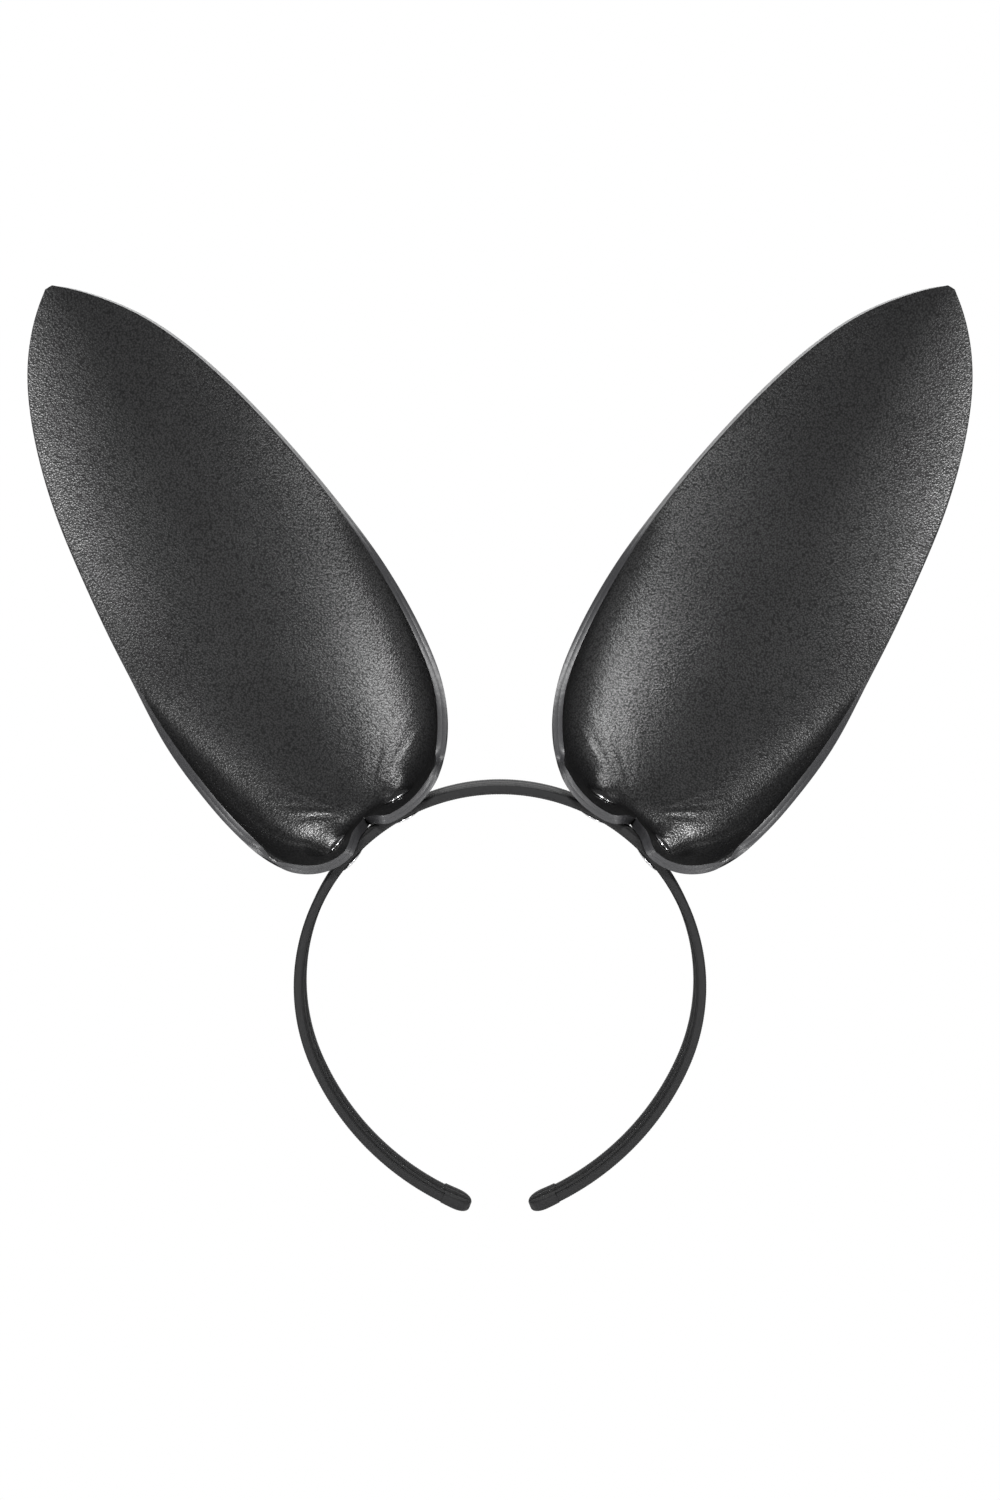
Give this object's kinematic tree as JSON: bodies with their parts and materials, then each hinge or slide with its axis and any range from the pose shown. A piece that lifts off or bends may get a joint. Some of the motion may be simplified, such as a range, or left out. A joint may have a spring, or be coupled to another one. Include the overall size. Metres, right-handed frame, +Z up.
{
  "type": "animal ears headband",
  "caption": "Slim fabric-covered spring headband carrying two upright cupped leather ears, each riveted to the band through two curled lobes.",
  "frame": {"origin": "centre of the band's crown arc, midway through the band's width, where the wearer's head sits", "axes": "+X towards the right-hand ear seen from the front, +Y towards the back, +Z up through the crown"},
  "size_m": [0.3026, 0.0258, 0.3026],
  "materials": {
    "leather": "satin, fine pebble grain",
    "leather_back": "matt, finer grain",
    "ribbed_fabric": "ribbed, slight sheen",
    "lining_ribbon": "ribbed, slight sheen",
    "spring_core": "matt",
    "nickel": "polished"
  },
  "bodies": {
    "crown": {"crown_cover": "ribbed_fabric", "crown_core": "spring_core", "crown_lining": "lining_ribbon", "left_ear_front_leather": "leather", "left_ear_back_leather": "leather_back", "left_inner_rivet_cap": "nickel", "left_inner_rivet_back": "nickel", "left_outer_rivet_cap": "nickel", "left_outer_rivet_back": "nickel", "right_ear_front_leather": "leather", "right_ear_back_leather": "leather_back", "right_inner_rivet_cap": "nickel", "right_inner_rivet_back": "nickel", "right_outer_rivet_cap": "nickel", "right_outer_rivet_back": "nickel"},
    "left_arm": {"left_arm_cover": "ribbed_fabric", "left_arm_core": "spring_core", "left_arm_lining": "lining_ribbon", "left_end_wrap": "ribbed_fabric"},
    "right_arm": {"right_arm_cover": "ribbed_fabric", "right_arm_core": "spring_core", "right_arm_lining": "lining_ribbon", "right_end_wrap": "ribbed_fabric"}
  },
  "joints": [
    {"name": "left_arm_flex", "type": "hinge", "parent": "crown", "child": "left_arm", "pos_m": [-0.05824, 0, 0.03363], "axis": [0, 1, 0], "range_deg": [-4, 12], "stiffness_Nm_per_rad": 0.6},
    {"name": "right_arm_flex", "type": "hinge", "parent": "crown", "child": "right_arm", "pos_m": [0.05824, 0, 0.03363], "axis": [0, -1, 0], "range_deg": [-4, 12], "stiffness_Nm_per_rad": 0.6}
  ]
}
